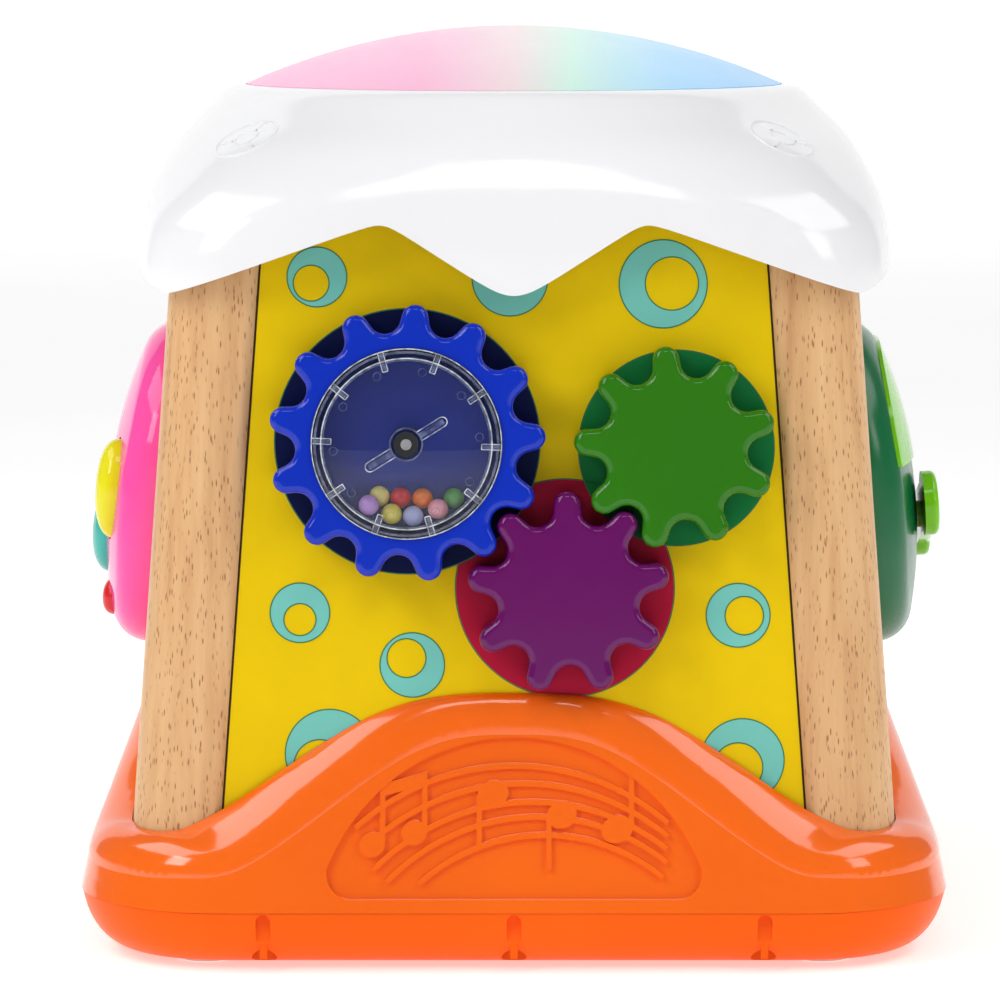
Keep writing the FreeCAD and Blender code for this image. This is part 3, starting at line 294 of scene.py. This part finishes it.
def drum_material():
    """Translucent head with a faint painted glow, as if lit from inside: pink on the left, pale in the
    middle, blue on the right.
    """
    nodes = Nodes("drum_plastic")
    split = nodes.add("ShaderNodeSeparateXYZ")
    nodes.link(nodes.coords, "Object", split, "Vector")
    across = nodes.add("ShaderNodeMapRange")
    across.inputs["From Min"].default_value = -0.08
    across.inputs["From Max"].default_value = 0.08
    nodes.link(split, "X", across, "Value")
    ramp = nodes.ramp(across, "Result", [
        (0.0, srgb(248, 176, 210)), (0.34, srgb(248, 184, 212)), (0.50, srgb(238, 216, 220)),
        (0.60, srgb(204, 236, 224)), (0.78, srgb(166, 214, 248)), (1.0, srgb(148, 200, 244))])
    nodes.link(ramp, "Color", nodes.shader, "Base Color")
    nodes.link(ramp, "Color", nodes.shader, "Emission Color")
    roughness_from(nodes, 0.28, 0.38, 80.0)
    # the head gives off a faint painted glow in its own colours
    nodes.set(Emission_Strength=0.12, Subsurface_Weight=0.3, Subsurface_Scale=0.006)
    return nodes.material


def window_highlight_material(name, colour, alpha):
    """Painted highlights and painted soft reflections on the clear window's moulded edges, with a
    painted glint that comes and goes along them.
    """
    nodes = Nodes(name)
    glint = nodes.noise(420.0, 3.0, 0.6)
    tone = nodes.ramp(glint, "Fac", [(0.40, shade(colour, 0.45)), (0.58, colour)])
    nodes.link(tone, "Color", nodes.shader, "Base Color")
    nodes.set(Roughness=0.1, Alpha=alpha)
    return nodes.material


# the finish of the toy's bright moulded parts
GLOSSY = {"rough": (0.07, 0.11), "grain": 0.02, "specular": 0.36}


def make_materials():
    return {
        "orange_plastic": plastic("orange_plastic", srgb(255, 106, 2), (0.1, 0.15), 0.012, coat=0.5),
        "tray_plastic": plastic("tray_plastic", srgb(250, 98, 2), (0.3, 0.38), 0.012, specular=0.12),
        "white_plastic": plastic("white_plastic", srgb(241, 241, 243), (0.1, 0.15), 0.006, spread=0.01),
        "beech": beech(),
        "yellow_board": printed("yellow_board", srgb(236, 200, 0)),
        "blue_plastic": plastic("blue_plastic", srgb(6, 46, 184), **GLOSSY),
        "dark_blue_plastic": plastic("dark_blue_plastic", srgb(10, 42, 150), (0.35, 0.45)),
        "black_plastic": plastic("black_plastic", srgb(22, 22, 25), (0.35, 0.5), 0.05),
        "violet_plastic": plastic("violet_plastic", srgb(98, 6, 92), **GLOSSY),
        "green_plastic": plastic("green_plastic", srgb(44, 118, 12), **GLOSSY),
        "pink_plastic": plastic("pink_plastic", srgb(255, 82, 170), **GLOSSY),
        "dark_green_plastic": plastic("dark_green_plastic", srgb(0, 102, 58), (0.2, 0.28)),
        "lime_plastic": plastic("lime_plastic", srgb(118, 200, 16), **GLOSSY),
        "yellow_plastic": plastic("yellow_plastic", srgb(232, 226, 28), **GLOSSY),
        "teal_plastic": plastic("teal_plastic", srgb(62, 182, 170), **GLOSSY),
        "red_plastic": plastic("red_plastic", srgb(214, 26, 38), (0.2, 0.28)),
        "grey_plastic": plastic("grey_plastic", srgb(150, 150, 152), (0.4, 0.5), 0.05),
        "circuit_board": plastic("circuit_board", srgb(16, 92, 48), (0.35, 0.45), 0.06),
        "silicone": plastic("silicone", srgb(222, 222, 220), (0.5, 0.6), 0.04),
        "cell_jacket": plastic("cell_jacket", srgb(40, 62, 124), (0.3, 0.4)),
        "clear_plastic": clear("clear_plastic", (0.97, 0.98, 1.0, 1.0)),
        "steel": metal("steel", srgb(196, 196, 200)),
        "black_steel": metal("black_steel", srgb(44, 44, 46), 0.4),
        "drum_plastic": drum_material(),
        "turquoise_print": printed("turquoise_print", srgb(118, 200, 188)),
        "outline_print": printed("outline_print", srgb(62, 122, 84)),
        # dark brown for the painted shadow strips beside the posts
        "gap_shade": printed("gap_shade", srgb(58, 40, 22), 0.8),
        "navy_print": printed("navy_print", srgb(5, 18, 66)),
        "crimson_print": printed("crimson_print", srgb(184, 18, 56)),
        "green_print": printed("green_print", srgb(18, 124, 62)),
        # painted highlights and painted soft reflections on the clear window's edges
        "window_painted_highlights": window_highlight_material("window_painted_highlights", srgb(226, 232, 240), 0.85),
        "window_painted_reflections": window_highlight_material("window_painted_reflections", srgb(150, 162, 186), 0.4),
    }


MATERIALS = make_materials()
OWN_MATERIALS = {"base_tray": "tray_plastic"}   # a duller finish than the moulding above it


def paint_cad_nodes():
    for part in frame["record"]["subparts"]:
        obj = NODES[part["node"]]
        material = MATERIALS.get(OWN_MATERIALS.get(part["node"], part["material_slot"]))
        if material is None:        # the beads, which are made below
            continue
        obj.data.materials.clear()
        obj.data.materials.append(material)


# ---------------------------------------------------------------- prints on the walls
FRONT_RINGS = [                     # outer x, y, r, then inner x, y, r
    (41.2, 188.9, 12.2, 43.6, 189.0, 7.3), (-54.4, 190.8, 8.3, -56.0, 189.1, 4.9),
    (-1.1, 190.5, 10.5, -1.1, 192.5, 5.5), (-59.3, 97.9, 8.3, -59.3, 96.0, 4.4),
    (62.1, 97.2, 8.9, 63.8, 97.1, 5.3), (-28.2, 83.4, 9.0, -29.8, 85.3, 5.35),
    (-51.1, 58.7, 12.4, -53.8, 55.4, 7.2), (63.4, 56.9, 11.6, 62.2, 54.9, 6.8),
]
PLAIN_RINGS = [
    (48.0, 182.0, 11.0, 50.0, 183.5, 6.2), (-50.0, 178.0, 9.0, -51.5, 176.5, 5.0),
    (4.0, 196.0, 8.6, 3.0, 197.5, 4.8), (-62.0, 118.0, 8.6, -61.0, 116.2, 4.8),
    (64.0, 124.0, 9.4, 62.5, 123.0, 5.4), (-60.0, 64.0, 11.4, -58.0, 62.0, 6.6),
    (61.0, 66.0, 10.6, 62.0, 68.0, 6.0),
]
BACK_EXTRA = [
    (0.0, 150.0, 13.0, 2.4, 151.4, 7.6), (-24.0, 112.0, 9.6, -22.6, 110.6, 5.4),
    (28.0, 100.0, 10.4, 26.0, 101.6, 6.0),
]


PRINT_LIFT, LINE_OVER_PRINT = 0.10, 0.03
LINE_OUT, LINE_IN = 0.12, 0.22      # how far an outline reaches to each side of an edge
FRONT_DISCS = (                     # material, middle and radius, lift
    ("crimson_print", (14.1, 104.7, 30.4), 0.16), ("green_print", (44.9, 143.6, 27.15), 0.19),
    ("navy_print", (-29.5, 145.4, 36.8), 0.22),
)


def rings_on(side, rings):
    """Turquoise rings with off-centre holes, outlined inside and out."""
    fills, lines = [], []
    for ox, oy, outer, ix, iy, inner in rings:
        fills.append(ring_band(side, (ox, oy, outer), (ix, iy, inner), PRINT_LIFT))
        lift = PRINT_LIFT + LINE_OVER_PRINT
        lines.append(ring_band(side, (ox, oy, outer + LINE_OUT), (ox, oy, outer - LINE_IN), lift))
        lines.append(ring_band(side, (ix, iy, inner + LINE_IN), (ix, iy, inner - LINE_OUT), lift))
    for kind, parts, material in (("ring_prints", fills, "turquoise_print"),
                                  ("ring_lines", lines, "outline_print")):
        verts, faces = joined(parts)
        obj = mesh_object("%s_%s" % (side, kind), verts, faces, [MATERIALS[material]], False)
        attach(obj, "cube")


def wall_prints():
    rings_on("front", FRONT_RINGS)
    rings_on("back", PLAIN_RINGS + BACK_EXTRA)
    rings_on("left", PLAIN_RINGS)
    rings_on("right", PLAIN_RINGS)
    for material, circle, height in FRONT_DISCS:
        verts, faces = disc("front", circle, height)
        obj = mesh_object(material + "_disc", verts, faces, [MATERIALS[material]], False)
        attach(obj, "cube")
        verts, faces = ring_band("front", circle[:2] + (circle[2] + 0.1,),
                                 circle[:2] + (circle[2] - 0.25,), height + LINE_OVER_PRINT)
        line = mesh_object(material + "_edge", verts, faces, [MATERIALS["outline_print"]], False)
        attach(line, "cube")


# ---------------------------------------------------------------- painted shadow in the gaps beside the posts
PANEL_EDGE = 84.2                   # half width of a wall's open face, carried down to the table
# width and lift of the painted shadow strips beside the posts
GAP_LINE, GAP_LIFT = 0.6, 0.08
GAP_FOOT, GAP_LENGTH = 30.0, 184.0
GAP_STEPS = 12


def post_gap_shadows():
    """Painted shadow: a thin dark strip on each wall where it meets its posts, standing in for the
    shade in the gap.
    """
    parts = []
    for side in SIDES:
        for way in (-1, 1):
            verts = []
            for step in range(GAP_STEPS + 1):
                y = GAP_FOOT + GAP_LENGTH * step / GAP_STEPS
                x = way * (PANEL_EDGE - y * math.sin(LEAN))
                verts += [on_wall(side, x - way * GAP_LINE, y, GAP_LIFT),
                          on_wall(side, x, y, GAP_LIFT)]
            faces = [(2 * i, 2 * i + 1, 2 * i + 3, 2 * i + 2)[::way] for i in range(GAP_STEPS)]
            parts.append((verts, faces))
    verts, faces = joined(parts)
    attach(mesh_object("post_gap_shadows", verts, faces, [MATERIALS["gap_shade"]], False), "cube")


# ---------------------------------------------------------------- beads
BEAD_COLOURS = [srgb(196, 150, 226), srgb(236, 222, 130), srgb(226, 210, 80), srgb(214, 30, 36),
                srgb(178, 184, 232), srgb(240, 122, 30), srgb(250, 170, 184), srgb(96, 170, 90)]
BEAD = 2.85                         # radius
BEADS = [                           # across, up and out from the blue gear's axis
    (-10.4, -16.8, 11.5), (-7.6, -14.6, 7.0), (-4.2, -19.3, 10.2), (-1.8, -15.0, 7.0),
    (1.7, -19.9, 10.0), (4.2, -15.2, 7.0), (8.5, -18.0, 9.8), (12.8, -15.1, 7.2),
]


def beads():
    """The loose beads as one smooth piece, with a colour each."""
    builder = bmesh.new()
    for index, (x, y, z) in enumerate(BEADS):
        centre = on_wall("front", BLUE_AT[0] + x, BLUE_AT[1] + y, z)
        found = bmesh.ops.create_icosphere(builder, subdivisions=4, radius=BEAD * MM,
                                           matrix=Matrix.Translation(centre))
        for face in {f for v in found["verts"] for f in v.link_faces}:
            face.material_index = index
            face.smooth = True
    mesh = bpy.data.meshes.new("bead_set")
    builder.to_mesh(mesh)
    builder.free()
    for index, colour in enumerate(BEAD_COLOURS):
        mesh.materials.append(plastic("bead_%d" % index, colour, (0.12, 0.2), inside=0.1))
    obj = bpy.data.objects.new("bead_set", mesh)
    bpy.context.scene.collection.objects.link(obj)
    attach(obj, "beads")
    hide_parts("rattle_beads")


# ---------------------------------------------------------------- painted highlights on the clear window's edges
DOME_TOP, DOME_BALL = 19.0, 94.61   # crown height and radius of the window's dome, in mm
LINE_LIFT = 0.06


def on_dome(x, y):
    """A point just over the window's dome, given across and up from the blue gear's axis."""
    height = DOME_TOP - DOME_BALL + math.sqrt(DOME_BALL ** 2 - x * x - y * y) + LINE_LIFT
    return on_wall("front", BLUE_AT[0] + x, BLUE_AT[1] + y, height)


def dome_line(points, width, closed=False):
    """A thin raised strip that follows points on the dome."""
    verts = []
    half = width / 2
    for x, y, right_x, right_y in with_sideways(points, closed):
        verts += [on_dome(x + right_x * half, y + right_y * half),
                  on_dome(x - right_x * half, y - right_y * half)]
    return verts, strip_faces(len(points), 2, closed)


def turned(points, angle):
    c, s = math.cos(angle), math.sin(angle)
    return [(c * x - s * y, s * x + c * y) for x, y in points]


def circle_points(radius, steps, centre=(0.0, 0.0)):
    return [(centre[0] + radius * math.cos(2 * math.pi * i / steps),
             centre[1] + radius * math.sin(2 * math.pi * i / steps)) for i in range(steps)]


# rings of painted highlight and of painted soft reflection on the window's dome
BRIGHT_RINGS = ((26.0, 0.30), (23.4, 0.36))     # radius and line width
SOFT_RINGS = ((25.1, 0.7), (22.9, 0.45))
CLIPS, FIRST_CLIP = 10, 34          # how many clips, and the first one's angle in degrees
CLIP_IN, CLIP_OUT, CLIP_HALF = 20.6, 25.9, 0.75
PEG_AT, PEG = (19.9, 2.6), 1.1      # the round pegs beside the clips
PRONG_ANGLES = (32, 212)
PRONG_FOOT, PRONG_REACH, PRONG_HALF = 4.2, 11.6, 1.35
HUB = 4.4


def clip_lines(angle, bright, soft):
    """Painted highlight and reflection lines along one clip of the window's rim, and round the small
    peg beside it.
    """
    for side in (-CLIP_HALF, CLIP_HALF):
        edge = [(CLIP_IN, side), (23.2, side), (CLIP_OUT, side)]
        bright.append(dome_line(turned(edge, angle), 0.24))
    end = [(CLIP_IN, -CLIP_HALF), (CLIP_IN, CLIP_HALF)]
    bright.append(dome_line(turned(end, angle), 0.3))
    soft.append(dome_line(turned([(CLIP_IN + 0.4, 0), (CLIP_OUT - 0.3, 0)], angle), 0.9))
    peg = turned([PEG_AT], angle)[0]
    soft.append(dome_line(circle_points(PEG, 20, peg), 0.16, True))


def prong_lines(angle, bright, soft):
    """Painted highlight and reflection lines along one of the two prongs beside the hub, with its round
    nose.
    """
    nose = [(PRONG_REACH + PRONG_HALF * math.sin(t * math.pi / 8),
             PRONG_HALF * math.cos(t * math.pi / 8)) for t in range(9)]
    outline = [(PRONG_FOOT, PRONG_HALF)] + nose + [(PRONG_FOOT, -PRONG_HALF)]
    bright.append(dome_line(turned(outline, angle), 0.26))
    soft.append(dome_line(turned([(PRONG_FOOT + 0.2, 0), (PRONG_REACH + 0.4, 0)], angle), 1.5))


def window_edge_highlights():
    """Painted highlights and painted soft reflections along the moulded edges that show in the clear
    window.
    """
    bright = [dome_line(circle_points(radius, 120), width, True) for radius, width in BRIGHT_RINGS]
    soft = [dome_line(circle_points(radius, 120), width, True) for radius, width in SOFT_RINGS]
    for i in range(CLIPS):
        clip_lines(math.radians(FIRST_CLIP + 360 / CLIPS * i), bright, soft)
    for angle in PRONG_ANGLES:
        prong_lines(math.radians(angle), bright, soft)
    soft.append(dome_line(circle_points(HUB, 48), 0.5, True))
    for name, parts in (("window_painted_highlights", bright), ("window_painted_reflections", soft)):
        verts, faces = joined(parts)
        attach(mesh_object(name, verts, faces, [MATERIALS[name]]), "blue_gear")


# ---------------------------------------------------------------- embossed rings on the cap
SEAL_MIDDLE = (74.5, 227.5)         # how far out each way, and how high, in mm
SEAL_FACING = (0.74, 0.67)          # outwards and upwards parts of the cap's direction there
SEAL_RINGS = ((9.0, 72, 0.9), (3.4, 36, 0.8))   # radius, steps and width
SPOKE_WIDTH = 0.8
RIDGE = ((-0.5, -0.1), (-0.3, 0.3), (0.0, 0.42), (0.3, 0.3), (0.5, -0.1))   # across, and height


def on_cap(way_x, way_y, across, up, lift):
    """The cap's surface near a corner, lifted square to itself."""
    outwards = Vector((way_x, way_y, 0)).normalized()
    facing = (outwards * SEAL_FACING[0] + Vector((0, 0, SEAL_FACING[1]))).normalized()
    sideways = Vector((-way_y, way_x, 0)).normalized()
    middle = Vector((way_x * SEAL_MIDDLE[0], way_y * SEAL_MIDDLE[0], SEAL_MIDDLE[1]))
    start = middle + sideways * across + facing.cross(sideways) * up + facing * 20
    hit, place, _, _ = NODES["cap_shell"].ray_cast(start * MM, -facing)
    return place + facing * lift * MM if hit else middle * MM


def raised_strip(corner, points, width, closed):
    """A low rounded ridge along points near a corner of the cap."""
    verts = []
    for x, y, right_x, right_y in with_sideways(points, closed):
        for share, lift in RIDGE:
            reach = share * width
            verts.append(on_cap(*corner, x + right_x * reach, y + right_y * reach, lift))
    return verts, strip_faces(len(points), len(RIDGE), closed)


def cap_seals():
    """A plain emblem near each corner of the cap: two rings and three bars between them."""
    parts = []
    for corner in ((-1, -1), (1, -1), (1, 1), (-1, 1)):
        for radius, steps, width in SEAL_RINGS:
            parts.append(raised_strip(corner, circle_points(radius, steps), width, True))
        for angle in (90, 210, 330):
            bar = turned([(4.2 + 0.9 * step, 0.0) for step in range(5)], math.radians(angle))
            parts.append(raised_strip(corner, bar, SPOKE_WIDTH, False))
    verts, faces = joined(parts)
    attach(mesh_object("cap_seals", verts, faces, [MATERIALS["white_plastic"]]), "cube")


# ---------------------------------------------------------------- studio
FLOOR_REACH, BACKDROP_AT = 30, 4    # in metres
FLOOR_GLOW, BACKDROP_GLOW, SKY_GLOW = 0.45, 1.05, 0.22
LIGHTS = (                          # name, place in metres, width, height, watts
    ("left_box", (-1.05, -1.05, 0.95), 0.45, 0.65, 5.6),
    ("right_box", (1.15, -0.95, 0.75), 0.40, 0.60, 2.6),
    ("left_top", (-0.78, -0.25, 1.02), 0.95, 0.50, 5.0),
    ("right_top", (0.78, -0.25, 1.02), 0.95, 0.50, 4.2),
    ("front_fill", (0.0, -2.2, 2.6), 1.10, 0.60, 8.2),
)
LIT_POINT = (0, 0, 0.12)
CAMERA_AT = (0, -1.340, 0.278)
CAMERA_TILT = 6.85                  # degrees downwards
CAMERA_LENS, CAMERA_SHIFT = 162.7, -0.014


def lay_floor():
    """A wide pale floor with a little glow of its own."""
    nodes = Nodes("floor_white")
    grain = nodes.noise(3.0, 2.0)
    tone = nodes.ramp(grain, "Fac", [(0.3, (0.93, 0.93, 0.93, 1)), (0.7, (0.96, 0.96, 0.96, 1))])
    nodes.link(tone, "Color", nodes.shader, "Base Color")
    nodes.set(Roughness=0.75, Specular_IOR_Level=0.2, Emission_Strength=FLOOR_GLOW)
    nodes.shader.inputs["Emission Color"].default_value = (1, 1, 1, 1)
    wide, back = FLOOR_REACH, BACKDROP_AT
    verts = [(-wide, -wide, 0), (wide, -wide, 0), (wide, back, 0), (-wide, back, 0)]
    floor = mesh_object("floor", verts, [(0, 1, 2, 3)], [nodes.material], False)


def hang_backdrop():
    """A glowing sheet behind the toy."""
    nodes = Nodes("backdrop_white")
    nodes.set(Roughness=0.9, Specular_IOR_Level=0.0, Emission_Strength=BACKDROP_GLOW)
    nodes.shader.inputs["Base Color"].default_value = (0.0, 0.0, 0.0, 1)
    nodes.shader.inputs["Emission Color"].default_value = (1, 1, 1, 1)
    back = BACKDROP_AT
    verts = [(-back, back, -0.1), (back, back, -0.1), (back, back, back), (-back, back, back)]
    backdrop = mesh_object("backdrop", verts, [(0, 1, 2, 3)], [nodes.material], False)


def studio():
    """A faint white surround and five soft boxes."""
    world = bpy.data.worlds.new("studio")
    bpy.context.scene.world = world
    world.use_nodes = True
    background = world.node_tree.nodes["Background"]
    background.inputs["Color"].default_value = (1.0, 1.0, 1.0, 1)
    background.inputs["Strength"].default_value = SKY_GLOW
    for name, place, wide, high, watts in LIGHTS:
        data = bpy.data.lights.new(name, "AREA")
        data.shape = "RECTANGLE"
        data.size = wide
        data.size_y = high
        data.energy = watts
        lamp = bpy.data.objects.new(name, data)
        lamp.location = place
        aim = Vector(LIT_POINT) - Vector(place)
        lamp.rotation_euler = aim.to_track_quat("-Z", "Y").to_euler()
        bpy.context.scene.collection.objects.link(lamp)
    bpy.context.scene.view_settings.view_transform = "Standard"


def camera():
    data = bpy.data.cameras.new("camera")
    data.lens = CAMERA_LENS
    data.sensor_width = 36.0
    data.shift_x = CAMERA_SHIFT
    data.clip_start = 0.05
    obj = bpy.data.objects.new("camera", data)
    obj.location = CAMERA_AT
    obj.rotation_euler = (math.radians(90 - CAMERA_TILT), 0, 0)
    bpy.context.scene.collection.objects.link(obj)
    bpy.context.scene.camera = obj


paint_cad_nodes()
wall_prints()
post_gap_shadows()
beads()
window_edge_highlights()
cap_seals()
lay_floor()
hang_backdrop()
studio()
camera()
